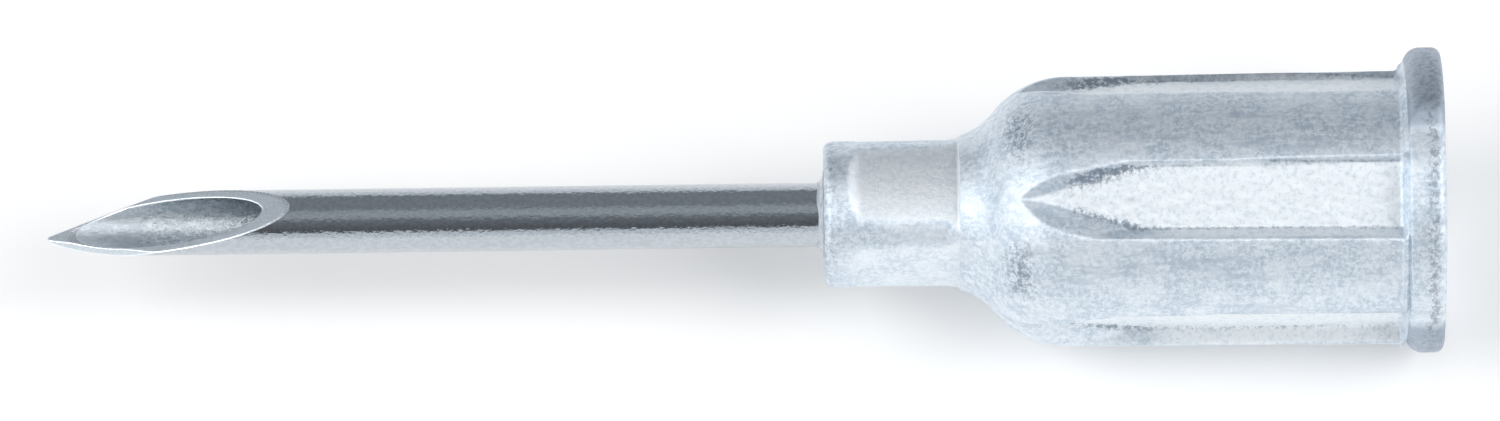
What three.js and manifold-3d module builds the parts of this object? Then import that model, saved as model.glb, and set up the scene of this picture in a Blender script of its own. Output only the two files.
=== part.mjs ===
// A 16 gauge bevelled dispensing needle with an aluminium Luer hub, in millimetres.
//
// It lies on its side: the tube's axis runs along X with the point at -X, +Z is up, and the bevel faces up.
// While it is built, x is 0 at the hub's rear face. The last lines move the origin to the middle of the
// footprint, on the surface that the flange rests on.
// A clock angle says where a feature sits round the axis: 0 is up (+Z) and 90 degrees is +Y.
import * as THREE from "three";
import { ConvexGeometry } from "three/addons/geometries/ConvexGeometry.js";
import { mergeVertices } from "three/addons/utils/BufferGeometryUtils.js";
import Module from "manifold-3d";

const wasm = await Module();
wasm.setup();

const RAD = Math.PI / 180;

// ---- Driving dimensions ----

// Stainless tube: 16 gauge, thin wall.
const TUBE_RADIUS = 0.825;
const TUBE_WALL = 0.2;
const TUBE_REACH = 19.95; // from the hub's front face to the point
const TUBE_INLET_X = -9.9; // where the tube ends inside the hub

// Point: one long bevel, then two side facets ground with the tube rolled to each side.
const BEVEL_ANGLE = 14.45 * RAD;
const LANCET_ANGLE = 20.6 * RAD;
const LANCET_ROLL = 54 * RAD;
const POINT_BLUNTING = 0.17; // how far short of the facets' common apex the point ends

// Hub
const HUB_LENGTH = 15.85;
const BODY_RADIUS_REAR = 3.52;
const BODY_RADIUS_FRONT = 3.46;
const BODY_FRONT_X = -9.6;
const SHOULDER_RADIUS = 2.45; // convex arc from the body
const THROAT_RADIUS = 1.85; // concave arc into the neck
const NECK_RADIUS_REAR = 1.9;
const NECK_RADIUS_FRONT = 1.87;
const NECK_CORNER = 0.22;

// Female Luer socket: 6 % taper on the diameter
const SOCKET_MOUTH_RADIUS = 2.15;
const SOCKET_CHAMFER = 0.15;
const SOCKET_TAPER = 0.03;
const SOCKET_DEPTH = 9.6;
const SOCKET_FLOOR_ANGLE = 59 * RAD;
const BORE_CLEARANCE = 0.015;

// Crimped flats round the neck, each a little crowned
const FLAT_COUNT = 4;
const FLAT_DISTANCE = 1.7; // from the axis
const FLAT_CROWN_RADIUS = 4.15;
const FLAT_REAR_X = -12.4;
const FLAT_FRONT_X = -14.85;
const FLAT_RAMP_RADIUS = 0.45;

// Spear-shaped flutes round the body
const FLUTE_COUNT = 5;
const FLUTE_CLOCK = -22 * RAD;
const FLUTE_FLOOR = 3.07; // the flat floor's distance from the axis, along its middle
const FLUTE_TILT = 10 * RAD; // each punch leans, so the side at the larger clock angle is shallower
const FLUTE_TIP_X = -10.6;
const FLUTE_REAR_X = -0.6; // hidden inside the flange
const FLUTE_HEAD_ANGLE = 15.9 * RAD; // half of the spear head's angle
const FLUTE_HEAD_SLOPE = 0.68;
const FLUTE_SHAFT_FRONT = 0.74; // half of the shaft's width in front, where the head tapers past it
const FLUTE_SHAFT_REAR = 0.86;
const FLUTE_SHAFT_SLOPE = 1.73;

// Flange with two Luer lock lugs, struck slightly off centre
const FLANGE_FRONT_X = -1.07;
const FLANGE_FILLET = 0.12;
const FLANGE_NOSE = 0.42; // rounds the front edge of the lugs
const FLANGE_EDGE = 0.22; // rounds the rear edge
const FLANGE_CORE = 2.8; // the ring starts inside the body's wall
const FLANGE_RADIUS = 3.68; // between the lugs
const FLANGE_OFFSET = 0.18;
const LUG_RADIUS = 3.915;
const LUG_CLOCK = 47 * RAD;
const LUG_HALF_ANGLE = 33 * RAD;
const LUG_RAMP = 17 * RAD;

// Sealant round the tube, in the hub's countersink
const SEAL_RADIUS = 1.1;
const SEAL_GAP = 0.012;
const SEAL_CLIMB = 0.12;

const HUB_SEGMENTS = 72;
const FLANGE_SEGMENTS = 96;
const TUBE_SEGMENTS = 48;
const CUTTER_OVERSHOOT = 1;

// ---- Solids ----

/** A closed geometry as a manifold solid. */
function solidOf(geometry) {
  const bare = geometry.index ? geometry.toNonIndexed() : geometry.clone();
  bare.deleteAttribute("normal");
  bare.deleteAttribute("uv");
  const merged = mergeVertices(bare, 1e-5);
  return new wasm.Manifold(
    new wasm.Mesh({
      numProp: 3,
      vertProperties: merged.attributes.position.array,
      triVerts: new Uint32Array(merged.index.array),
    }),
  );
}

/** A manifold solid as a geometry with flat faces. */
function geometryOf(solid) {
  const mesh = solid.getMesh();
  const geometry = new THREE.BufferGeometry();
  geometry.setAttribute("position", new THREE.BufferAttribute(mesh.vertProperties, 3));
  geometry.setIndex(new THREE.BufferAttribute(mesh.triVerts, 1));
  const flat = geometry.toNonIndexed();
  flat.computeVertexNormals();
  return flat;
}

/** A ring turned about the X axis from a closed profile of [x, radius], outer side first, towards +X. */
function turned(profile, segments) {
  const points = profile.map(([x, radius]) => new THREE.Vector2(radius, x));
  points.push(points[0].clone());
  return new THREE.LatheGeometry(points, segments).rotateZ(-Math.PI / 2);
}

/** Points [x, radius] on a circle, from one angle to another, measured from +X towards a larger radius. */
function arc(x, radius, size, from, to, steps) {
  return Array.from({ length: steps + 1 }, (_, i) => {
    const angle = from + ((to - from) * i) / steps;
    return [x + size * Math.cos(angle), radius + size * Math.sin(angle)];
  });
}

/** Turns a cutter made at clock angle 0 round the X axis to a clock angle. */
const toClock = (geometry, clock) => geometry.clone().rotateX(-clock);

// ---- Hub ----

const FRONT_X = -HUB_LENGTH;
const BORE_RADIUS = TUBE_RADIUS + BORE_CLEARANCE;
const SOCKET_END_RADIUS = SOCKET_MOUTH_RADIUS - SOCKET_TAPER * SOCKET_DEPTH;

/** The shoulder: two arcs that turn through the same angle, so that both ends run along the axis. */
function shoulderProfile() {
  const drop = BODY_RADIUS_FRONT - NECK_RADIUS_REAR;
  const turn = Math.acos(1 - drop / (SHOULDER_RADIUS + THROAT_RADIUS));
  const bodyCentre = [BODY_FRONT_X, BODY_RADIUS_FRONT - SHOULDER_RADIUS];
  const neckX = BODY_FRONT_X - (SHOULDER_RADIUS + THROAT_RADIUS) * Math.sin(turn);
  const neckCentre = [neckX, NECK_RADIUS_REAR + THROAT_RADIUS];
  const up = Math.PI / 2;
  const throat = arc(...neckCentre, THROAT_RADIUS, -up, -up + turn, 7);
  const shoulder = arc(...bodyCentre, SHOULDER_RADIUS, up + turn, up, 9);
  return [...throat, ...shoulder.slice(1)];
}

/** The hub's turned blank with its Luer socket and the tube's bore. */
function hubBlank() {
  const corner = [FRONT_X + NECK_CORNER, NECK_RADIUS_FRONT - NECK_CORNER];
  const floorRun = (SOCKET_END_RADIUS - BORE_RADIUS) / Math.tan(SOCKET_FLOOR_ANGLE);
  const outside = [
    [FRONT_X, SEAL_RADIUS],
    ...arc(...corner, NECK_CORNER, Math.PI, Math.PI / 2, 4),
    ...shoulderProfile(),
    [-1, BODY_RADIUS_REAR],
    [0, BODY_RADIUS_REAR - 0.15],
  ];
  const inside = [
    [0, SOCKET_MOUTH_RADIUS + SOCKET_CHAMFER],
    [-SOCKET_CHAMFER, SOCKET_MOUTH_RADIUS - SOCKET_TAPER * SOCKET_CHAMFER],
    [-SOCKET_DEPTH, SOCKET_END_RADIUS],
    [-SOCKET_DEPTH - floorRun, BORE_RADIUS],
    [FRONT_X + SEAL_RADIUS - BORE_RADIUS, BORE_RADIUS],
  ];
  return solidOf(turned([...outside, ...inside], HUB_SEGMENTS));
}

/** The punch that presses one flat: a crowned face with a square rear end and a curved ramp in front. */
function flatCutter() {
  const face = FLAT_CROWN_RADIUS;
  const ramp = arc(FLAT_FRONT_X, face + FLAT_RAMP_RADIUS, FLAT_RAMP_RADIUS, Math.PI, 1.5 * Math.PI, 6);
  const back = face + CUTTER_OVERSHOOT;
  const profile = [[FLAT_FRONT_X - FLAT_RAMP_RADIUS, back], [FLAT_REAR_X, back], [FLAT_REAR_X, face]];
  const ring = turned([...profile, ...ramp.reverse()], FLANGE_SEGMENTS);
  return ring.translate(0, 0, FLAT_DISTANCE - face);
}

/**
 * The two wedges whose common part presses one flute: the spear's pointed head with shallow walls, and its
 * shaft with steep ones.
 */
function fluteCutters() {
  const top = CUTTER_OVERSHOOT;
  const point = (x, y, z) => new THREE.Vector3(x, y, z);
  const bothSides = (x, y, z) => [point(x, y, z), point(x, -y, z)];
  const headRear = (FLUTE_REAR_X - FLUTE_TIP_X) * Math.tan(FLUTE_HEAD_ANGLE);
  const headRun = top / FLUTE_HEAD_SLOPE;
  const shaftRun = top / FLUTE_SHAFT_SLOPE;
  const head = [
    point(FLUTE_TIP_X, 0, 0),
    ...bothSides(FLUTE_REAR_X, headRear, 0),
    point(FLUTE_TIP_X - headRun / Math.sin(FLUTE_HEAD_ANGLE), 0, top),
    ...bothSides(FLUTE_REAR_X, headRear + headRun / Math.cos(FLUTE_HEAD_ANGLE), top),
  ];
  const shaft = [
    ...bothSides(FRONT_X, FLUTE_SHAFT_FRONT, 0),
    ...bothSides(FLUTE_REAR_X, FLUTE_SHAFT_REAR, 0),
    ...bothSides(FRONT_X, FLUTE_SHAFT_FRONT + shaftRun, top),
    ...bothSides(FLUTE_REAR_X, FLUTE_SHAFT_REAR + shaftRun, top),
  ];
  return [head, shaft].map((corners) =>
    new ConvexGeometry(corners).rotateX(FLUTE_TILT).translate(0, 0, FLUTE_FLOOR),
  );
}

/** The lug outline: its radius about the flange's own centre at a clock angle. */
function lugOutline(clock) {
  const half = Math.PI;
  const fromLug = Math.abs(((((clock - LUG_CLOCK + half / 2) % half) + half) % half) - half / 2);
  const ramp = THREE.MathUtils.smoothstep(fromLug, LUG_HALF_ANGLE, LUG_HALF_ANGLE + LUG_RAMP);
  return THREE.MathUtils.lerp(LUG_RADIUS, FLANGE_RADIUS, ramp);
}

/** The flange: a turned ring cut down to the lug outline and struck off centre. */
function flange() {
  const noseX = FLANGE_FRONT_X + FLANGE_FILLET + FLANGE_NOSE;
  const noseRadius = LUG_RADIUS - FLANGE_NOSE;
  const ring = turned(
    [
      [FLANGE_FRONT_X, FLANGE_CORE],
      [FLANGE_FRONT_X, BODY_RADIUS_REAR - 0.05],
      ...arc(noseX, noseRadius, FLANGE_NOSE, Math.PI - 12 * RAD, Math.PI / 2, 6),
      ...arc(-FLANGE_EDGE, LUG_RADIUS - FLANGE_EDGE, FLANGE_EDGE, Math.PI / 2, 0, 3),
      [0, FLANGE_CORE],
    ],
    FLANGE_SEGMENTS,
  );
  const position = ring.attributes.position;
  for (let i = 0; i < position.count; i++) {
    const radius = Math.hypot(position.getY(i), position.getZ(i));
    const clock = Math.atan2(position.getY(i), position.getZ(i));
    const outline = lugOutline(clock);
    const inNose = position.getX(i) < noseX + FLANGE_EDGE;
    const drawn = inNose ? Math.min(radius, outline) : radius - LUG_RADIUS + outline;
    const kept = Math.max(drawn, FLANGE_CORE);
    position.setY(i, kept * Math.sin(clock) + FLANGE_OFFSET * Math.sin(LUG_CLOCK));
    position.setZ(i, kept * Math.cos(clock) + FLANGE_OFFSET * Math.cos(LUG_CLOCK));
  }
  return solidOf(ring);
}

/** The whole hub, one piece of cold-headed aluminium. */
function hub() {
  let made = hubBlank();
  const flat = flatCutter();
  for (let i = 0; i < FLAT_COUNT; i++) {
    made = made.subtract(solidOf(toClock(flat, (i * 2 * Math.PI) / FLAT_COUNT)));
  }
  const [head, shaft] = fluteCutters();
  for (let i = 0; i < FLUTE_COUNT; i++) {
    const clock = FLUTE_CLOCK + (i * 2 * Math.PI) / FLUTE_COUNT;
    made = made.subtract(solidOf(toClock(head, clock)).intersect(solidOf(toClock(shaft, clock))));
  }
  return geometryOf(made.add(flange()));
}

// ---- Tube ----

const POINT_X = FRONT_X - TUBE_REACH;

/** What a grinding wheel takes away above a plane that rises from a spot at an angle, rolled about the axis. */
function grind(spot, angle, roll) {
  const size = 4 * TUBE_REACH;
  const wheel = new THREE.BoxGeometry(size, size, size).translate(0, 0, size / 2);
  wheel.rotateY(-angle).rotateX(-roll);
  return solidOf(wheel.translate(spot.x, spot.y, spot.z));
}

/** The tube, open at both ends and ground to a lancet point that lies on its underside. */
function cannula() {
  const bore = TUBE_RADIUS - TUBE_WALL;
  const wall = [
    [POINT_X, TUBE_RADIUS],
    [TUBE_INLET_X, TUBE_RADIUS],
    [TUBE_INLET_X, bore],
    [POINT_X, bore],
  ];
  const apex = new THREE.Vector3(POINT_X - POINT_BLUNTING, 0, -TUBE_RADIUS);
  const ground = solidOf(turned(wall, TUBE_SEGMENTS))
    .subtract(grind(apex, BEVEL_ANGLE, 0))
    .subtract(grind(apex, LANCET_ANGLE, LANCET_ROLL))
    .subtract(grind(apex, LANCET_ANGLE, -LANCET_ROLL));
  return geometryOf(ground);
}

// ---- Sealant ----

/** A bead of sealant that fills the countersink and climbs the tube a little. */
function sealBead() {
  const inner = TUBE_RADIUS + SEAL_GAP;
  const depth = SEAL_RADIUS - BORE_RADIUS;
  const outer = SEAL_RADIUS - 2 * SEAL_GAP;
  return turned(
    [
      [FRONT_X - SEAL_CLIMB, inner],
      [FRONT_X - SEAL_CLIMB, inner + 0.03],
      [FRONT_X - 0.05, inner + 0.1],
      [FRONT_X - 0.03, outer],
      [FRONT_X, outer],
      [FRONT_X + depth - 3 * SEAL_GAP, inner + SEAL_GAP],
      [FRONT_X + depth - 3 * SEAL_GAP, inner],
    ],
    TUBE_SEGMENTS,
  );
}

// ---- Assembly ----

const aluminium = new THREE.MeshStandardMaterial({ color: 0xc9d4de, roughness: 0.42, metalness: 1 });
const steel = new THREE.MeshStandardMaterial({ color: 0xa9acb0, roughness: 0.22, metalness: 1 });
const sealant = new THREE.MeshStandardMaterial({ color: 0xdfe6ea, roughness: 0.3, metalness: 0 });

/** A mesh with its node's name. */
function piece(name, geometry, material) {
  const mesh = new THREE.Mesh(geometry, material);
  mesh.name = name;
  return mesh;
}

const needle = new THREE.Group();
needle.add(piece("hub", hub(), aluminium));
needle.add(piece("cannula", cannula(), steel));
needle.add(piece("seal_bead", sealBead(), sealant));

const box = new THREE.Box3().setFromObject(needle);
const middle = box.getCenter(new THREE.Vector3());
needle.position.set(-middle.x, -middle.y, -box.min.z);

const part = new THREE.Group();
part.add(needle);

export default part;
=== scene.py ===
import math

import bpy
import numpy as np
from mathutils import Matrix, Vector, noise


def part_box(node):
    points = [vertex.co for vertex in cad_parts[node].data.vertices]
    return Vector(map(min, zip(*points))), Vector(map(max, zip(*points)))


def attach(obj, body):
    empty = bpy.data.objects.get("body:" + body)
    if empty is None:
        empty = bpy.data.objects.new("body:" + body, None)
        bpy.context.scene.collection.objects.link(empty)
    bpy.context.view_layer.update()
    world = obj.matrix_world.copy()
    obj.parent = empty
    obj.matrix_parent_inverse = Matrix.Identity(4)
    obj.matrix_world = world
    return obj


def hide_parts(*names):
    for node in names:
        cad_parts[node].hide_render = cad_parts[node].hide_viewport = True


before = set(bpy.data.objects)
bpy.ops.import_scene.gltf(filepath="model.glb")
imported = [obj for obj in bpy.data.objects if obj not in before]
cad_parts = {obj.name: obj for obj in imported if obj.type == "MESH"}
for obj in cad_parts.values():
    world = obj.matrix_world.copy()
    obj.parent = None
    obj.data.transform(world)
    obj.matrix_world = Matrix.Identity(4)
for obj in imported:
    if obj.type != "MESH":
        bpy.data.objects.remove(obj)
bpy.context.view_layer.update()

# A bevelled dispensing needle with an aluminium Luer hub: its looks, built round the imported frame.
#
# Sizes are in millimetres, and x is 0 at the hub's rear face, with the point at -x, until place() turns
# them into metres in the row frame. A clock angle says where a feature sits round the axis: 0 is up (+Z)
# and 90 degrees is +Y.

MM = 0.001

# ---- Places from the frame ----

HUB_LOW, HUB_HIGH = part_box("hub")
TUBE_LOW, TUBE_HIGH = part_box("cannula")
REAR_X = HUB_HIGH.x
AXIS_Y = (TUBE_LOW.y + TUBE_HIGH.y) / 2
AXIS_Z = (TUBE_LOW.z + TUBE_HIGH.z) / 2
FRONT = (HUB_LOW.x - REAR_X) / MM
POINT = (TUBE_LOW.x - REAR_X) / MM
INLET = (TUBE_HIGH.x - REAR_X) / MM
TUBE_RADIUS = (TUBE_HIGH.z - TUBE_LOW.z) / 2 / MM

# ---- Sizes of the real shapes, in millimetres ----

BORE_RADIUS = TUBE_RADIUS - 0.2
BEVEL_ANGLE = math.radians(14.45)
LANCET_ANGLE = math.radians(20.6)
LANCET_ROLL = math.radians(54)
POINT_BLUNTING = 0.17

BODY_REAR = 3.52
BODY_FRONT = 3.46
BODY_FRONT_X = -9.6
SHOULDER = 2.45
THROAT = 1.85
NECK_REAR = 1.9
NECK_FRONT = 1.87
NECK_CORNER = 0.22

SOCKET_MOUTH = 2.15
SOCKET_CHAMFER = 0.15
SOCKET_TAPER = 0.03
SOCKET_DEPTH = 9.6
SOCKET_FLOOR_RUN = 0.7
HUB_BORE = TUBE_RADIUS + 0.015

FLAT_CLOCKS = [math.radians(degrees) for degrees in (0, 90, 180, 270)]
FLAT_DISTANCE = 1.7
FLAT_CROWN = 4.15
FLAT_REAR_X = -12.4
FLAT_END_SLOPE = 9
FLAT_FRONT_X = -14.85
FLAT_RAMP = 0.45
FLAT_EDGE = 0.05

FLUTE_COUNT = 5
FLUTE_CLOCKS = [math.radians(-22) + i * 2 * math.pi / FLUTE_COUNT for i in range(FLUTE_COUNT)]
RIB_CLOCKS = [clock + math.pi / FLUTE_COUNT for clock in FLUTE_CLOCKS]
FLUTE_FLOOR = 3.07
FLUTE_TILT = math.radians(10)
FLUTE_TIP_X = -10.6
FLUTE_REAR_X = -0.6
FLUTE_HEAD_ANGLE = math.radians(15.9)
FLUTE_HEAD_SLOPE = 0.68
FLUTE_SHAFT_FRONT = 0.74
FLUTE_SHAFT_REAR = 0.86
FLUTE_SHAFT_SLOPE = 1.73
FLUTE_HEAD_END_X = -7.3
FLUTE_EDGE = 0.05
WALL_EDGE = 0.04
FOOT_EDGE = 0.03

# Where a flute's wall faces away from the axis it has no reach, and counts as lying outside the hub.
GRAZING = 0.02
OUTSIDE = 9

# Unevenness of the skin, the flutes' floors and the trim line, as (height, wavelength, seed).
SKIN_LUMPS = ((0.007, 1.1, 3), (0.0035, 0.35, 11))
FLOOR_LUMPS = ((0.02, 0.17, 23), (0.012, 0.4, 29))
TRIM_LUMPS = ((0.12, 0.8, 37),)
SKIN_INSET = 0.004

HEAD_FADE = 0.6
# Widths of the painted shade along the flutes' upper walls, and of the pits with it.
HEAD_MARGIN = 0.06
SHAFT_MARGIN = 0.4
PIT_WIDTH = 0.09
HEAD_PIT_SHADE_WIDTH = 0.2
SHAFT_PIT_SHADE_WIDTH = 0.45
SCUFF_X = -10.85
SCUFF_LENGTH = 0.55
SCUFF_HALF_ANGLE = 0.36
TRIM_X = -0.34
TRIM_WIDTH = 0.24

FLANGE_FRONT = -1.07
FLANGE_FILLET = 0.12
FLANGE_NOSE = 0.42
FLANGE_NOSE_START = math.radians(12)
FLANGE_EDGE = 0.22
FLANGE_RADIUS = 3.68
FLANGE_OFFSET = 0.18
LUG_RADIUS = 3.915
LUG_CLOCK = math.radians(47)
LUG_HALF_ANGLE = math.radians(33)
LUG_RAMP = math.radians(17)

SEAL_RADIUS = 1.1
SEAL_OVERLAP = 0.02
SEAL_CLIMB = 0.14
SEAL_RISE = 0.015
SEAL_GAP = 0.006
SEAL_CLEARANCE = 0.03
SEAL_SIDE_CLEARANCE = 0.045
SEAL_TIP = 0.01

# ---- Mesh helpers ----


def place(x, across, up):
    """Millimetres from the needle's own axes to metres in the row frame."""
    return np.stack([REAR_X + x * MM, AXIS_Y + across * MM, AXIS_Z + up * MM], axis=-1)


def soft_min(a, b, blend):
    """The smaller of two surfaces, with their crease rounded over a blend distance."""
    mix = np.clip(0.5 + 0.5 * (b - a) / blend, 0, 1)
    return b * (1 - mix) + a * mix - blend * mix * (1 - mix)


def soft_max(a, b, blend):
    return -soft_min(-a, -b, blend)


def smooth_step(value, low, high):
    share = np.clip((value - low) / (high - low), 0, 1)
    return share * share * (3 - 2 * share)


def clock_from(clocks, centres):
    """The signed angle from each clock angle to the nearest of the centres."""
    gaps = (clocks[:, None] - np.array(centres)[None, :] + math.pi) % (2 * math.pi) - math.pi
    nearest = np.abs(gaps).argmin(axis=1)
    return gaps[np.arange(len(clocks)), nearest]


def spread(first, last, step):
    """Evenly spaced values from first up to, but not including, last."""
    count = max(1, round(abs(last - first) / step))
    return list(first + (last - first) * np.arange(count) / count)


def lumps(points, layers):
    """Smooth unevenness at points in metres: a sum of layers of (height, wavelength, seed)."""
    flat = [Vector(point) for point in points.reshape(-1, 3)]
    total = np.zeros(len(flat))
    for height, wavelength, seed in layers:
        scale = 1 / (wavelength * MM)
        shift = Vector((seed, seed * 1.7, seed * 2.3))
        total += height * np.array([noise.noise(point * scale + shift) for point in flat])
    return total.reshape(points.shape[:-1])


def wrapped_mesh(name, points, sharp_rows=()):
    """A closed surface from a grid [row, column, xyz] whose rows and columns both wrap round."""
    rows, columns = points.shape[:2]
    index = np.arange(rows * columns).reshape(rows, columns)
    down = np.roll(index, -1, axis=0)
    faces = np.stack([index, down, np.roll(down, -1, axis=1), np.roll(index, -1, axis=1)], axis=-1)
    mesh = bpy.data.meshes.new(name)
    mesh.from_pydata(points.reshape(-1, 3).tolist(), [], faces.reshape(-1, 4).tolist())
    mesh.shade_smooth()
    ends = np.zeros(len(mesh.edges) * 2, int)
    mesh.edges.foreach_get("vertices", ends)
    edge_rows = ends.reshape(-1, 2) // columns
    sharp = (edge_rows[:, 0] == edge_rows[:, 1]) & np.isin(edge_rows[:, 0], list(sharp_rows))
    mesh.attributes.new("sharp_edge", "BOOLEAN", "EDGE").data.foreach_set("value", sharp)
    thing = bpy.data.objects.new(name, mesh)
    bpy.context.scene.collection.objects.link(thing)
    return thing


def paint(thing, name, values):
    """Stores one number per vertex, which a material reads by its name."""
    layer = thing.data.attributes.new(name, "FLOAT", "POINT")
    layer.data.foreach_set("value", np.ascontiguousarray(values, np.float32).ravel())


# ---- Hub ----

HUB_COLUMNS = 384

# Spacing of the skin's rows over the neck, the throat, the flutes' heads and their shafts.
NECK_STEP = 0.08
THROAT_STEP = 0.075
HEAD_STEP = 0.06
SHAFT_STEP = 0.115


def blank_radius(x):
    """The turned blank's radius: neck, throat, shoulder and drafted body."""
    drop = BODY_FRONT - NECK_REAR
    turn = math.acos(1 - drop / (SHOULDER + THROAT))
    neck_x = BODY_FRONT_X - (SHOULDER + THROAT) * math.sin(turn)
    joint_x = BODY_FRONT_X - SHOULDER * math.sin(turn)
    neck = NECK_FRONT + (NECK_REAR - NECK_FRONT) * (x - FRONT) / (neck_x - FRONT)
    into_throat = np.clip(x - neck_x, 0, THROAT)
    throat = NECK_REAR + THROAT - np.sqrt(THROAT**2 - into_throat**2)
    into_shoulder = np.clip(BODY_FRONT_X - x, 0, SHOULDER)
    shoulder = BODY_FRONT - SHOULDER + np.sqrt(SHOULDER**2 - into_shoulder**2)
    body = BODY_FRONT + (BODY_REAR - BODY_FRONT) * (x - BODY_FRONT_X) / -BODY_FRONT_X
    radius = np.where(x < neck_x, neck, np.where(x < joint_x, throat, shoulder))
    return np.where(x < BODY_FRONT_X, radius, body)


def pressed_flats(x, clocks):
    """The radius that the four crowned neck flats leave, far outside the hub where there is none."""
    away = clock_from(clocks, FLAT_CLOCKS)[None, :]
    into_ramp = np.clip(FLAT_FRONT_X - x, 0, FLAT_RAMP)
    lift = FLAT_RAMP - np.sqrt(FLAT_RAMP**2 - into_ramp**2)
    lift += FLAT_END_SLOPE * np.clip(x - FLAT_REAR_X, 0, None)
    lift += np.where(x < FLAT_FRONT_X - FLAT_RAMP, 1, 0)
    centre = FLAT_DISTANCE - FLAT_CROWN
    face = FLAT_CROWN + lift[:, None]
    return centre * np.cos(away) + np.sqrt(face**2 - (centre * np.sin(away)) ** 2)


def pressed_flutes(x, clocks):
    """The radius that the five leaning spear-shaped flutes leave, and their floors and walls apart."""
    away = clock_from(clocks, FLUTE_CLOCKS)
    along_x, turn = np.meshgrid(x, clocks, indexing="ij")
    around = place(along_x, FLUTE_FLOOR * np.sin(turn), FLUTE_FLOOR * np.cos(turn))
    floor = FLUTE_FLOOR * math.cos(FLUTE_TILT) / np.cos(away + FLUTE_TILT)[None, :]
    floor = floor + lumps(around, FLOOR_LUMPS)
    head_width = (x - FLUTE_TIP_X) * math.sin(FLUTE_HEAD_ANGLE)
    along = (x - FRONT) / (FLUTE_REAR_X - FRONT)
    shaft_width = FLUTE_SHAFT_FRONT + (FLUTE_SHAFT_REAR - FLUTE_SHAFT_FRONT) * along
    head = FLUTE_HEAD_SLOPE, math.cos(FLUTE_HEAD_ANGLE), head_width[:, None]
    shaft = FLUTE_SHAFT_SLOPE, 1, shaft_width[:, None]
    wall = floor - 1
    for slope, cosine, width in (head, shaft):
        for side in (-1, 1):
            steep = slope * cosine * side
            across = -math.sin(FLUTE_TILT) - steep * math.cos(FLUTE_TILT)
            up = math.cos(FLUTE_TILT) - steep * math.sin(FLUTE_TILT)
            facing = (np.sin(away) * across + np.cos(away) * up)[None, :]
            reach = (FLUTE_FLOOR * up - slope * width) / np.maximum(facing, GRAZING)
            wall = soft_max(wall, np.where(facing > GRAZING, reach, OUTSIDE), WALL_EDGE)
    return soft_max(floor, wall, FOOT_EDGE), floor, wall


def hub_skin(clocks):
    """The outside from the front corner to the flange: each row's x, its radii, and its finish."""
    corner = [
        (FRONT + NECK_CORNER * (1 - math.cos(a)), NECK_FRONT - NECK_CORNER * (1 - math.sin(a)))
        for a in np.linspace(0, math.pi / 2, 9)[:-1]
    ]
    flat_end = [FLAT_REAR_X + s for s in (-0.05, 0, 0.012, 0.025, 0.04, 0.07)]
    along = spread(FRONT + NECK_CORNER, FLAT_REAR_X - 0.1, NECK_STEP) + flat_end
    along += spread(FLAT_REAR_X + 0.12, FLUTE_TIP_X - 0.6, THROAT_STEP)
    along += spread(FLUTE_TIP_X - 0.6, FLUTE_HEAD_END_X, HEAD_STEP)
    along += spread(FLUTE_HEAD_END_X, FLANGE_FRONT - FLANGE_FILLET, SHAFT_STEP)
    along.append(FLANGE_FRONT - FLANGE_FILLET)
    x = np.array([c[0] for c in corner] + along)
    blank = np.concatenate([[c[1] for c in corner], blank_radius(np.array(along))])
    flats = pressed_flats(x, clocks)
    flutes, floor, wall = pressed_flutes(x, clocks)
    blank = blank[:, None] + 0 * flats
    radius = soft_min(soft_min(blank, flats, FLAT_EDGE), flutes, FLUTE_EDGE)
    return x, radius, skin_masks(x, clocks, blank, flats, flutes, floor, wall)


def skin_masks(x, clocks, blank, flats, flutes, floor, wall):
    """Where the outside differs in finish or in painted light, from 0 to 1: floors, with painted light on
    the lower shaft walls, flats, painted shade on the upper walls' margins, and dark pitting that also
    paints shade.
    """
    in_flute = smooth_step(blank - flutes, -0.01, 0.04)
    head = smooth_step(FLUTE_HEAD_END_X - x, -HEAD_FADE, HEAD_FADE)[:, None]
    shaft = 1 - head
    upper = clock_from(clocks, FLUTE_CLOCKS)[None, :] > 0
    floor_only = smooth_step(floor - wall, -0.02, 0.03)

    # Painted shade: the steep upper walls, and the floor just below them, are painted darker.
    margin_width = HEAD_MARGIN + (SHAFT_MARGIN - HEAD_MARGIN) * shaft
    margin = upper * smooth_step(wall - floor, -margin_width, 0)

    # Pits follow the foot of each wall; on the upper walls and the floor's margin below them, pitting is
    # spread as painted shade; all of it fades towards the tip.
    upper_width = HEAD_PIT_SHADE_WIDTH + (SHAFT_PIT_SHADE_WIDTH - HEAD_PIT_SHADE_WIDTH) * shaft
    pit_shade_width = np.where(upper & (wall < floor), upper_width, PIT_WIDTH)
    foot = (0.7 + 0.25 * head) * np.exp(-(((wall - floor) / pit_shade_width) ** 2))
    foot += (0.15 * head + 0.7 * upper) * smooth_step(wall - floor, 0.02, 0.1)
    foot *= smooth_step(x, FLUTE_TIP_X, FLUTE_TIP_X + 1.6)[:, None]

    # They also lie on the shoulder in front of each rib, and at the neck's end.
    along = np.exp(-(((x - SCUFF_X) / SCUFF_LENGTH) ** 2))[:, None]
    around = np.exp(-((clock_from(clocks, RIB_CLOCKS) / SCUFF_HALF_ANGLE) ** 2))[None, :]
    neck_end = 0.5 * smooth_step(-x, -FRONT - 0.7, -FRONT - 0.1)[:, None]
    elsewhere = np.maximum(0.9 * along * around, neck_end)

    # The pressed-flat mask is full on the flats above and below, and weaker on the ones at the sides.
    top_and_bottom_weight = 0.2 + 0.8 * np.cos(clocks) ** 2
    return {
        # The flutes' floors, and as painted light the lower walls along the shafts.
        "floor_and_painted_lit_wall": in_flute * np.maximum(floor_only * (1 - margin * shaft), ~upper * shaft),
        "pressed_flat": smooth_step(blank - flats, -0.01, 0.03) * top_and_bottom_weight,
        "painted_shade": 0.7 * in_flute * margin * (1 - 0.6 * head),
        "pits_and_painted_shade": np.maximum(np.clip(in_flute * foot, 0, 1), elsewhere),
    }


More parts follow.
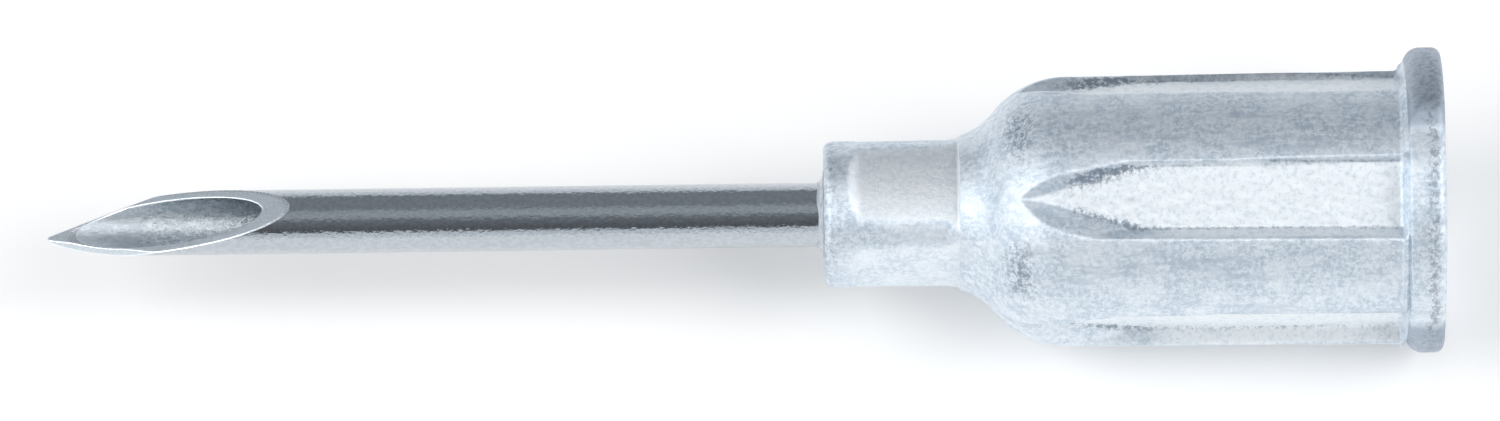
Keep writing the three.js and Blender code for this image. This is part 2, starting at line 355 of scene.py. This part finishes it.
def lug_outline(clocks):
    """The flange's radius about its own centre."""
    away = np.abs(clock_from(clocks, [LUG_CLOCK, LUG_CLOCK + math.pi]))
    ramp = smooth_step(away, LUG_HALF_ANGLE, LUG_HALF_ANGLE + LUG_RAMP)
    return LUG_RADIUS + (FLANGE_RADIUS - LUG_RADIUS) * ramp


def hub_flange(clocks, last_radius):
    """
    Rows [x, across, up] from the body's last row, up the flange's front, round it and over its rear, and
    how many of them come before its nose.
    """
    turn = np.stack([np.sin(clocks), np.cos(clocks)], axis=-1)
    centre = FLANGE_OFFSET * np.array([math.sin(LUG_CLOCK), math.cos(LUG_CLOCK)])
    outline = lug_outline(clocks)
    nose_x = FLANGE_FRONT + FLANGE_FILLET + FLANGE_NOSE
    nose_angles = np.linspace(FLANGE_NOSE_START, math.pi / 2, 11)
    nose = [
        (nose_x - FLANGE_NOSE * math.cos(a), LUG_RADIUS - FLANGE_NOSE * (1 - math.sin(a)))
        for a in nose_angles
    ]
    rows = []
    nose_start = centre + turn * np.minimum(nose[0][1], outline)[:, None]
    for angle in np.linspace(0, math.pi / 2, 6)[1:]:
        lifted = last_radius + FLANGE_FILLET * (1 - math.cos(angle))
        rows.append((FLANGE_FRONT - FLANGE_FILLET * (1 - math.sin(angle)), turn * lifted[:, None]))
    foot_x, foot = rows[-1]
    for share in (0.3, 0.6, 0.85):
        rows.append((foot_x + (nose[0][0] - foot_x) * share, foot + (nose_start - foot) * share))
    front_count = len(rows)
    for x, radius in nose:
        rows.append((x, centre + turn * np.minimum(radius, outline)[:, None]))
    for x in spread(nose_x + 0.04, -FLANGE_EDGE, 0.05):
        rows.append((x, centre + turn * outline[:, None]))
    for angle in np.linspace(0, math.pi / 2, 8):
        edge = outline - FLANGE_EDGE * (1 - math.cos(angle))
        rows.append((-FLANGE_EDGE * (1 - math.sin(angle)), centre + turn * edge[:, None]))
    rim = centre + turn * (outline - FLANGE_EDGE)[:, None]
    mouth = turn * (SOCKET_MOUTH + SOCKET_CHAMFER)
    for share in np.linspace(0, 1, 9)[1:-1]:
        rows.append((0, rim + (mouth - rim) * share))
    return rows, front_count


def hub_inside(clocks):
    """Rows [x, across, up] of the Luer socket, its floor, the tube's bore and the front countersink."""
    end = SOCKET_MOUTH - SOCKET_TAPER * SOCKET_DEPTH
    turned = [
        (0, SOCKET_MOUTH + SOCKET_CHAMFER),
        (-SOCKET_CHAMFER * 0.25, SOCKET_MOUTH + SOCKET_CHAMFER * 0.4),
        (-SOCKET_CHAMFER, SOCKET_MOUTH - SOCKET_TAPER * SOCKET_CHAMFER),
    ]
    turned += [(-d, SOCKET_MOUTH - SOCKET_TAPER * d) for d in np.linspace(0.4, SOCKET_DEPTH, 14)]
    turned += [
        (-SOCKET_DEPTH - SOCKET_FLOOR_RUN * s, end + (HUB_BORE - end) * s) for s in (0.08, 0.5, 0.92, 1)
    ]
    depth = SEAL_RADIUS - HUB_BORE
    turned += [(FRONT + depth + 0.5, HUB_BORE), (FRONT + depth, HUB_BORE), (FRONT, SEAL_RADIUS)]
    turned += [(FRONT, SEAL_RADIUS + (NECK_FRONT - NECK_CORNER - SEAL_RADIUS) * s) for s in (0.3, 0.7)]
    turn = np.stack([np.sin(clocks), np.cos(clocks)], axis=-1)
    return [(x, turn * radius) for x, radius in turned]


def make_hub():
    """The cold-headed hub, one closed skin from its neck to the bottom of its Luer socket."""
    clocks = np.arange(HUB_COLUMNS) * 2 * math.pi / HUB_COLUMNS
    x, radius, masks = hub_skin(clocks)
    skin = place(x[:, None] + 0 * radius, radius * np.sin(clocks), radius * np.cos(clocks))
    flange_rows, front_count = hub_flange(clocks, radius[-1])
    rest_rows = flange_rows + hub_inside(clocks)
    rest_x = np.array([row_x for row_x, section in rest_rows])
    sections = np.stack([section for row_x, section in rest_rows])
    rest = place(rest_x[:, None] + 0 * sections[..., 0], sections[..., 0], sections[..., 1])

    # Hammered unevenness, less of it on the pressed flats, and none where the skin meets the sealant.
    outward = np.stack([0 * radius, np.sin(clocks) + 0 * radius, np.cos(clocks) + 0 * radius], axis=-1)
    wander = lumps(skin, SKIN_LUMPS) * (1 - 0.6 * masks["pressed_flat"])
    wander = wander * smooth_step(x, FRONT, FRONT + 0.4)[:, None] - SKIN_INSET
    skin = skin + outward * wander[..., None] * MM

    # The lugs are painted darker and pitted, as painted shade, and a ragged line of pits runs round the
    # rim, where the trimming die stopped.
    row = np.arange(len(rest_rows))
    on_rim = ((row >= front_count) & (row < len(flange_rows)) & (rest_x < 0))[:, None]
    off_line = rest_x[:, None] - TRIM_X + lumps(rest, TRIM_LUMPS)
    trim = 0.75 * np.exp(-((off_line / TRIM_WIDTH) ** 2))
    lug = (lug_outline(clocks) - FLANGE_RADIUS) / (LUG_RADIUS - FLANGE_RADIUS)
    rest_masks = {
        "pits_and_painted_shade": on_rim * np.maximum(trim, 0.6 * lug),
        "painted_shade": on_rim * smooth_step(lug, 0, 0.45),
    }

    hub = wrapped_mesh("hub_forging", np.concatenate([skin, rest]))
    for name, values in masks.items():
        paint(hub, name, np.concatenate([values, rest_masks.get(name, 0 * rest[..., 0])]))
    return hub


# ---- Tube ----

TUBE_COLUMNS = 256
TUBE_RINGS = 111
RING_CROWDING = 1.25
BEVEL_RINGS = 12
EDGE_ROUNDING = 0.03
OUTER_EDGE_SHARE = 0.3

# How much of its length the rings of each side cover, before the rounded rear end.
OUTSIDE_SHARE = 0.999
BORE_SHARE = 0.97

# The bore is painted paler near the point, a painted reflection, and fades to plain drawn steel between
# these distances from it.
PAINTED_REFLECTION_SHARE = 0.8
PAINTED_REFLECTION_FULL_TO = 0.5
DRAWN_FROM = 3.2


def ground_x(across, up):
    """How far forward the tube still reaches at a spot of its section, after the three grinding passes."""
    reach = np.full(np.shape(across), POINT, float)
    for angle, roll in ((BEVEL_ANGLE, 0), (LANCET_ANGLE, LANCET_ROLL), (LANCET_ANGLE, -LANCET_ROLL)):
        height = across * math.sin(roll) + (up + TUBE_RADIUS) * math.cos(roll)
        reach = np.maximum(reach, POINT - POINT_BLUNTING + height / math.tan(angle))
    return reach


def make_tube():
    """The tube with its ground point: outside, rear end, bore and bevel as one closed skin."""
    clocks = np.arange(TUBE_COLUMNS) * 2 * math.pi / TUBE_COLUMNS
    sine, cosine = np.sin(clocks), np.cos(clocks)
    shares = np.linspace(0, 1, TUBE_RINGS) ** RING_CROWDING
    outer_start = ground_x(TUBE_RADIUS * sine, TUBE_RADIUS * cosine)
    inner_start = ground_x(BORE_RADIUS * sine, BORE_RADIUS * cosine)
    lag = EDGE_ROUNDING / math.tan(BEVEL_ANGLE)
    outer_first = outer_start + lag * OUTER_EDGE_SHARE
    rows = [(outer_first + (INLET - outer_start) * s * OUTSIDE_SHARE, TUBE_RADIUS) for s in shares]
    for radius in (TUBE_RADIUS - EDGE_ROUNDING, BORE_RADIUS + EDGE_ROUNDING):
        rows.append((np.full(TUBE_COLUMNS, INLET), radius))
    inner_first = inner_start + lag
    bore_run = (INLET - inner_start) * BORE_SHARE
    rows += [(inner_first + bore_run * s, BORE_RADIUS) for s in shares[::-1]]
    bevel_first = len(rows)
    for radius in np.linspace(BORE_RADIUS, TUBE_RADIUS, BEVEL_RINGS + 2)[1:-1]:
        inner_gap = max(0, 1 - (radius - BORE_RADIUS) / EDGE_ROUNDING)
        outer_gap = max(0, 1 - (TUBE_RADIUS - radius) / EDGE_ROUNDING)
        sunk = lag * (inner_gap**2 + OUTER_EDGE_SHARE * outer_gap**2)
        rows.append((ground_x(radius * sine, radius * cosine) + sunk, radius))
    grid = np.stack([place(x, radius * sine, radius * cosine) for x, radius in rows])
    tube = wrapped_mesh("cannula_tube", grid, sharp_rows=(0, len(shares) - 1))
    # Painted highlight: the rims of the cut, marked for a near-white, smoother tone.
    rim = np.zeros(grid.shape[:2])
    rim[[bevel_first - 1, bevel_first, -1, 0]] = 1
    paint(tube, "rim", rim)
    x_mm = (grid[..., 0] - REAR_X) / MM
    paint(tube, "pale", PAINTED_REFLECTION_SHARE - PAINTED_REFLECTION_SHARE * smooth_step(x_mm, POINT + PAINTED_REFLECTION_FULL_TO, POINT + DRAWN_FROM))

    # Slot 1 is the ground point, and slot 2 the bore.
    for polygon in tube.data.polygons:
        row = polygon.vertices[0] // TUBE_COLUMNS
        if row >= bevel_first - 1:
            polygon.material_index = 1
        elif row > len(shares):
            polygon.material_index = 2
    return tube


# ---- Sealant ----

SEAL_COLUMNS = 120


def make_seal():
    """The bead of sealant: it fills the countersink and climbs the tube in a hollow curve."""
    clocks = np.arange(SEAL_COLUMNS) * 2 * math.pi / SEAL_COLUMNS
    inner = TUBE_RADIUS + SEAL_GAP
    outer = SEAL_RADIUS + SEAL_OVERLAP
    bottom = FRONT + SEAL_RADIUS - HUB_BORE - SEAL_CLEARANCE
    profile = []
    for angle in np.linspace(0, math.pi / 2, 12):
        climb = SEAL_CLIMB * (1 - math.sin(angle))
        across = (outer - inner - 2 * SEAL_GAP) * (1 - math.cos(angle))
        profile.append((FRONT - SEAL_RISE - climb, inner + 2 * SEAL_GAP + across))
    profile += [(FRONT + SEAL_CLEARANCE, SEAL_RADIUS - SEAL_SIDE_CLEARANCE), (bottom, inner + SEAL_TIP)]
    profile += [(bottom, inner), (FRONT - SEAL_TIP - SEAL_CLIMB, inner)]
    uneven = 0.02 * np.sin(clocks * 3 + 1) + 0.012 * np.sin(clocks * 7 + 2)
    grid = []
    for x, radius in profile:
        share = np.clip((FRONT - x) / SEAL_CLIMB, 0, 1)
        grid.append(place(x - uneven * share, radius * np.sin(clocks), radius * np.cos(clocks)))
    return wrapped_mesh("seal_fillet", np.stack(grid))


# ---- Materials ----

GRAIN_DARK = (0.54, 0.63, 0.715, 1)
GRAIN_LIGHT = (0.81, 0.87, 0.925, 1)
PATCH = (0.88, 0.92, 0.96, 1)
STREAK = (0.94, 0.965, 0.99, 1)
SMEAR = (0.50, 0.58, 0.66, 1)
PRESSED = (0.97, 0.99, 1.0, 1)
# Painted shade for the flutes' upper walls and for the lugs.
PAINTED_SHADE_TONE = (0.38, 0.44, 0.51, 1)
FLAKE_DARK = (0.74, 0.80, 0.85, 1)
FLAKE_LIGHT = (0.90, 0.93, 0.95, 1)
# Pits; on the upper flute walls and the lugs the same tone is painted shade.
PIT_AND_SHADE_TONE = (0.26, 0.31, 0.37, 1)

DRAWN_DARK = (0.48, 0.515, 0.55, 1)
DRAWN_LIGHT = (0.55, 0.59, 0.63, 1)
GROUND_DARK = (0.66, 0.72, 0.77, 1)
GROUND_LIGHT = (0.80, 0.86, 0.90, 1)
# Painted highlight along the rims of the cut.
GROUND_RIM_HIGHLIGHT = (0.93, 0.96, 1.0, 1)
BORE_DARK = (0.58, 0.63, 0.67, 1)
BORE_LIGHT = (0.80, 0.84, 0.88, 1)
# Painted reflection in the bore near the point.
BORE_PAINTED_REFLECTION = (0.78, 0.84, 0.89, 1)

SEALANT_DARK = (0.42, 0.46, 0.50, 1)
SEALANT_LIGHT = (0.62, 0.66, 0.70, 1)
TABLE_DARK = (0.91, 0.90, 0.89, 1)
TABLE_LIGHT = (0.94, 0.93, 0.92, 1)
TABLE_GLOW = 0.13


class Nodes:
    """A short way to write a material's node tree. Texture positions are in millimetres."""

    def __init__(self, name):
        self.material = bpy.data.materials.new(name)
        self.material.use_nodes = True
        self.tree = self.material.node_tree
        self.shader = self.tree.nodes["Principled BSDF"]
        coordinates = self.tree.nodes.new("ShaderNodeTexCoord")
        self.position = self.stretched(coordinates.outputs["Object"], (1 / MM, 1 / MM, 1 / MM))

    def link(self, source, target):
        if isinstance(source, (int, float, tuple)):
            target.default_value = source
        else:
            self.tree.links.new(source, target)

    def stretched(self, source, scale):
        node = self.tree.nodes.new("ShaderNodeMapping")
        node.inputs["Scale"].default_value = scale
        self.link(source, node.inputs["Vector"])
        return node.outputs["Vector"]

    def grain(self, per_mm, detail=3.0, roughness=0.55, position=None):
        """Cloudy noise, with its coarsest lumps one over per_mm across."""
        node = self.tree.nodes.new("ShaderNodeTexNoise")
        node.inputs["Scale"].default_value = per_mm
        node.inputs["Detail"].default_value = detail
        node.inputs["Roughness"].default_value = roughness
        self.link(position or self.position, node.inputs["Vector"])
        return node.outputs["Fac"]

    def stored(self, name):
        """A number that paint() stored on the mesh."""
        node = self.tree.nodes.new("ShaderNodeAttribute")
        node.attribute_name = name
        return node.outputs["Fac"]

    def ramp(self, source, low, high, to_low=0.0, to_high=1.0):
        node = self.tree.nodes.new("ShaderNodeMapRange")
        node.interpolation_type = "SMOOTHSTEP"
        self.link(source, node.inputs["Value"])
        limits = {"From Min": low, "From Max": high, "To Min": to_low, "To Max": to_high}
        for name, value in limits.items():
            node.inputs[name].default_value = value
        return node.outputs["Result"]

    def math(self, operation, a, b):
        node = self.tree.nodes.new("ShaderNodeMath")
        node.operation = operation
        self.link(a, node.inputs[0])
        self.link(b, node.inputs[1])
        return node.outputs["Value"]

    def mix(self, share, a, b):
        node = self.tree.nodes.new("ShaderNodeMix")
        node.data_type = "RGBA"
        self.link(share, node.inputs["Factor"])
        self.link(a, node.inputs["A"])
        self.link(b, node.inputs["B"])
        return node.outputs["Result"]

    def bump(self, height, depth_mm, strength=1.0, below=None):
        node = self.tree.nodes.new("ShaderNodeBump")
        node.inputs["Distance"].default_value = depth_mm * MM
        self.link(strength, node.inputs["Strength"])
        self.link(height, node.inputs["Height"])
        if below is not None:
            self.link(below, node.inputs["Normal"])
        return node.outputs["Normal"]

    def finish(self, **inputs):
        for name, value in inputs.items():
            self.link(value, self.shader.inputs[name.replace("_", " ")])
        return self.material


def forged_aluminium():
    """Cold-headed, tumbled aluminium: crisp speckle, drawn streaks and smears, flaky floors, dark pits,
    painted shade on the upper flute walls and the lugs, and painted light on the lower shaft walls.
    """
    n = Nodes("forged_aluminium")
    floor = n.stored("floor_and_painted_lit_wall")
    speckle = n.grain(8.0, 6.0, 0.8)
    crisp = n.ramp(speckle, 0.4, 0.6)
    patches = n.grain(1.3, 3.0, 0.6)
    streaks = n.grain(7.0, 3.0, 0.65, n.stretched(n.position, (0.22, 1, 1)))
    smears = n.grain(2.6, 4.0, 0.7, n.stretched(n.position, (0.16, 1, 1)))
    pits = n.grain(7.0, 6.0, 0.8)
    tone = n.mix(crisp, GRAIN_DARK, GRAIN_LIGHT)
    tone = n.mix(n.ramp(patches, 0.4, 0.65, 0, 0.5), tone, PATCH)
    tone = n.mix(n.ramp(streaks, 0.55, 0.7, 0, 0.4), tone, STREAK)
    tone = n.mix(n.ramp(smears, 0.5, 0.68, 0, 0.5), tone, SMEAR)
    tone = n.mix(n.math("MULTIPLY", n.stored("pressed_flat"), 0.75), tone, PRESSED)
    # Painted shade over the upper flute walls and the lugs.
    tone = n.mix(n.math("MULTIPLY", n.stored("painted_shade"), 0.8), tone, PAINTED_SHADE_TONE)
    flakes = n.mix(n.ramp(speckle, 0.38, 0.5), FLAKE_DARK, FLAKE_LIGHT)
    # Flaky floors, which also paint light on the lower shaft walls.
    tone = n.mix(n.math("MULTIPLY", floor, 0.9), tone, flakes)
    # Dark pits, which also paint shade over the upper flute walls and the lugs.
    pit_and_shade_bias = n.math("MULTIPLY", n.stored("pits_and_painted_shade"), 0.16)
    pits_and_shade = n.math("MULTIPLY", n.ramp(n.math("ADD", pits, pit_and_shade_bias), 0.56, 0.68), n.stored("pits_and_painted_shade"))
    tone = n.mix(pits_and_shade, tone, PIT_AND_SHADE_TONE)
    rough = n.math("ADD", n.ramp(speckle, 0.35, 0.65, 0.46, 0.56), n.math("MULTIPLY", floor, 0.1))
    normal = n.bump(patches, 0.03, 0.3)
    normal = n.bump(speckle, 0.02, n.math("SUBTRACT", 0.8, n.math("MULTIPLY", floor, 0.4)), normal)
    normal = n.bump(streaks, 0.006, 0.5, normal)
    return n.finish(Base_Color=tone, Metallic=1.0, Roughness=rough, Normal=normal)


def drawn_steel():
    """The tube's outside: bright drawn steel, with fine dents that catch the light."""
    n = Nodes("drawn_steel")
    dents = n.grain(10.0, 2.0, 0.6, n.stretched(n.position, (0.8, 1, 1)))
    lines = n.grain(20.0, 2.0, 0.5, n.stretched(n.position, (0.06, 1, 1)))
    tone = n.mix(n.ramp(dents, 0.35, 0.65), DRAWN_DARK, DRAWN_LIGHT)
    rough = n.ramp(n.grain(3.0), 0.3, 0.7, 0.08, 0.13)
    normal = n.bump(dents, 0.01, 1.0, n.bump(lines, 0.004, 0.25))
    return n.finish(Base_Color=tone, Metallic=1.0, Roughness=rough, Normal=normal)


def ground_steel():
    """The bevel and the lancet facets: an even, pale, grit-blasted ground face, with painted highlights
    along its rims.
    """
    n = Nodes("ground_steel")
    rim = n.stored("rim")
    grit = n.grain(20.0, 4.0, 0.7)
    tone = n.mix(n.ramp(grit, 0.35, 0.65), GROUND_DARK, GROUND_LIGHT)
    # Painted highlight along the rims, which are also smoother.
    tone = n.mix(rim, tone, GROUND_RIM_HIGHLIGHT)
    rough = n.math("SUBTRACT", n.ramp(grit, 0.3, 0.7, 0.34, 0.4), n.math("MULTIPLY", rim, 0.1))
    return n.finish(Base_Color=tone, Metallic=1.0, Roughness=rough, Normal=n.bump(grit, 0.01, 0.6))


def bore_steel():
    """The tube's bore: drawn smooth and grainy, with a painted reflection near the point that is paler,
    rougher and less bumpy.
    """
    n = Nodes("bore_steel")
    pale = n.stored("pale")
    grit = n.grain(11.0, 5.0, 0.75, n.stretched(n.position, (0.6, 1, 1)))
    tone = n.mix(n.ramp(grit, 0.45, 0.62), BORE_DARK, BORE_LIGHT)
    # Painted reflection: the bore is paler near the point.
    tone = n.mix(pale, tone, BORE_PAINTED_REFLECTION)
    rough = n.math("ADD", n.ramp(grit, 0.3, 0.7, 0.2, 0.34), n.math("MULTIPLY", pale, 0.3))
    normal = n.bump(grit, 0.024, n.math("SUBTRACT", 1.0, n.math("MULTIPLY", pale, 0.7)))
    return n.finish(Base_Color=tone, Metallic=1.0, Roughness=rough, Normal=normal)


def sealant():
    """Cured clear adhesive, slightly clouded."""
    n = Nodes("sealant")
    clouds = n.grain(4.0)
    tone = n.mix(n.ramp(clouds, 0.3, 0.7), SEALANT_DARK, SEALANT_LIGHT)
    normal = n.bump(clouds, 0.01, 0.5)
    return n.finish(Base_Color=tone, Roughness=n.ramp(clouds, 0.3, 0.7, 0.12, 0.25), Normal=normal)


def white_table():
    n = Nodes("white_table")
    tone = n.mix(n.grain(0.05), TABLE_DARK, TABLE_LIGHT)
    n.shader.inputs["Specular IOR Level"].default_value = 0.1
    n.shader.inputs["Emission Color"].default_value = (1, 1, 1, 1)
    n.shader.inputs["Emission Strength"].default_value = TABLE_GLOW
    return n.finish(Base_Color=tone, Roughness=0.8)


# ---- Pieces ----


def add_pieces():
    for thing, node, slot, materials in (
        (make_hub(), "hub", "forged_aluminium", [forged_aluminium()]),
        (make_tube(), "cannula", "drawn_steel", [drawn_steel(), ground_steel(), bore_steel()]),
        (make_seal(), "seal_bead", "sealant", [sealant()]),
    ):
        for material in materials:
            thing.data.materials.append(material)
        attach(thing, "root")
        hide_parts(node)


# ---- Camera, light and table ----

CAMERA_ELEVATION = math.radians(61.5)
CAMERA_ROLL = math.radians(0.75)
CAMERA_DISTANCE = 0.4
SENSOR_WIDTH = 36
VIEW_WIDTH = 38.5 * MM
AIM = Vector((0.16 * MM, 0, AXIS_Z + 0.03 * MM))
TABLE_HALF_SIZE = 0.8
TABLE_GAP = 0.02 * MM
SOFTBOX_ASIDE = 0.32
SOFTBOX_Y = -0.1
SOFTBOX_HEIGHT = 0.34
SOFTBOX_SIZE = (0.34, 0.32)
SOFTBOX_POWER = 1.25

SKY = (0.27, 0.29, 0.315, 1)
SKY_FRONT = (0.13, 0.135, 0.145, 1)
FRONT_FADE = (-0.9, -0.3)
OVERHEAD = (0.44, 0.465, 0.49, 1)
OVERHEAD_TILT = -0.12
OVERHEAD_FADE = (0.95, 0.99)
HORIZON = (0.80, 0.835, 0.87, 1)
HORIZON_TILT = 0.03
HORIZON_FADE = (0.27, 0.32)


def aim(thing, target, roll=0.0):
    """Turns a camera or light to look at a point."""
    gaze = (target - thing.location).to_track_quat("-Z", "Y").to_matrix().to_4x4()
    turn = Matrix.Rotation(roll, 4, "Z")
    thing.matrix_world = Matrix.Translation(thing.location) @ gaze @ turn


def add_camera():
    data = bpy.data.cameras.new("camera")
    data.sensor_width = SENSOR_WIDTH
    data.lens = SENSOR_WIDTH * CAMERA_DISTANCE / VIEW_WIDTH
    data.clip_start = 0.01
    camera = bpy.data.objects.new("camera", data)
    bpy.context.scene.collection.objects.link(camera)
    back = Vector((0, -math.cos(CAMERA_ELEVATION), math.sin(CAMERA_ELEVATION)))
    camera.location = AIM + back * CAMERA_DISTANCE
    aim(camera, AIM, -CAMERA_ROLL)
    bpy.context.scene.camera = camera


def add_softbox(side):
    data = bpy.data.lights.new(f"softbox_{side}", "AREA")
    data.shape = "RECTANGLE"
    data.size, data.size_y = SOFTBOX_SIZE
    data.energy = SOFTBOX_POWER
    light = bpy.data.objects.new(data.name, data)
    bpy.context.scene.collection.objects.link(light)
    light.location = Vector((SOFTBOX_ASIDE * side, SOFTBOX_Y, SOFTBOX_HEIGHT))
    aim(light, Vector((0, 0, AXIS_Z)))


def add_sky():
    """A dim grey room with a paler ceiling, darker in front, over a bright band along the horizon."""
    world = bpy.data.worlds.new("room")
    bpy.context.scene.world = world
    world.use_nodes = True
    tree = world.node_tree
    background = tree.nodes["Background"]
    coordinates = tree.nodes.new("ShaderNodeTexCoord")
    split = tree.nodes.new("ShaderNodeSeparateXYZ")
    tree.links.new(coordinates.outputs["Generated"], split.inputs[0])

    def ramp(source, low, high):
        node = tree.nodes.new("ShaderNodeMapRange")
        node.inputs["From Min"].default_value = low
        node.inputs["From Max"].default_value = high
        tree.links.new(source, node.inputs["Value"])
        return node.outputs["Result"]

    def mix(share, a, b):
        node = tree.nodes.new("ShaderNodeMix")
        node.data_type = "RGBA"
        tree.links.new(share, node.inputs["Factor"])
        for name, value in (("A", a), ("B", b)):
            if isinstance(value, tuple):
                node.inputs[name].default_value = value
            else:
                tree.links.new(value, node.inputs[name])
        return node.outputs["Result"]

    def tilted_height(slope):
        node = tree.nodes.new("ShaderNodeMath")
        node.operation = "MULTIPLY_ADD"
        tree.links.new(split.outputs["Y"], node.inputs[0])
        node.inputs[1].default_value = slope
        tree.links.new(split.outputs["Z"], node.inputs[2])
        return node.outputs["Value"]

    room = mix(ramp(split.outputs["Y"], *FRONT_FADE), SKY_FRONT, SKY)
    room = mix(ramp(tilted_height(OVERHEAD_TILT), *OVERHEAD_FADE), room, OVERHEAD)
    band = ramp(tilted_height(HORIZON_TILT), *HORIZON_FADE)
    tree.links.new(mix(band, HORIZON, room), background.inputs["Color"])


def add_table():
    mesh = bpy.data.meshes.new("table")
    half = TABLE_HALF_SIZE
    corners = [(-half, -half, 0), (half, -half, 0), (half, half, 0), (-half, half, 0)]
    mesh.from_pydata(corners, [], [(0, 1, 2, 3)])
    mesh.materials.append(white_table())
    table = bpy.data.objects.new("table", mesh)
    bpy.context.scene.collection.objects.link(table)
    table.location.z = HUB_LOW.z - TABLE_GAP


add_camera()
add_pieces()
add_table()
add_sky()
for side in (-1, 1):
    add_softbox(side)
bpy.context.scene.view_settings.view_transform = "Standard"
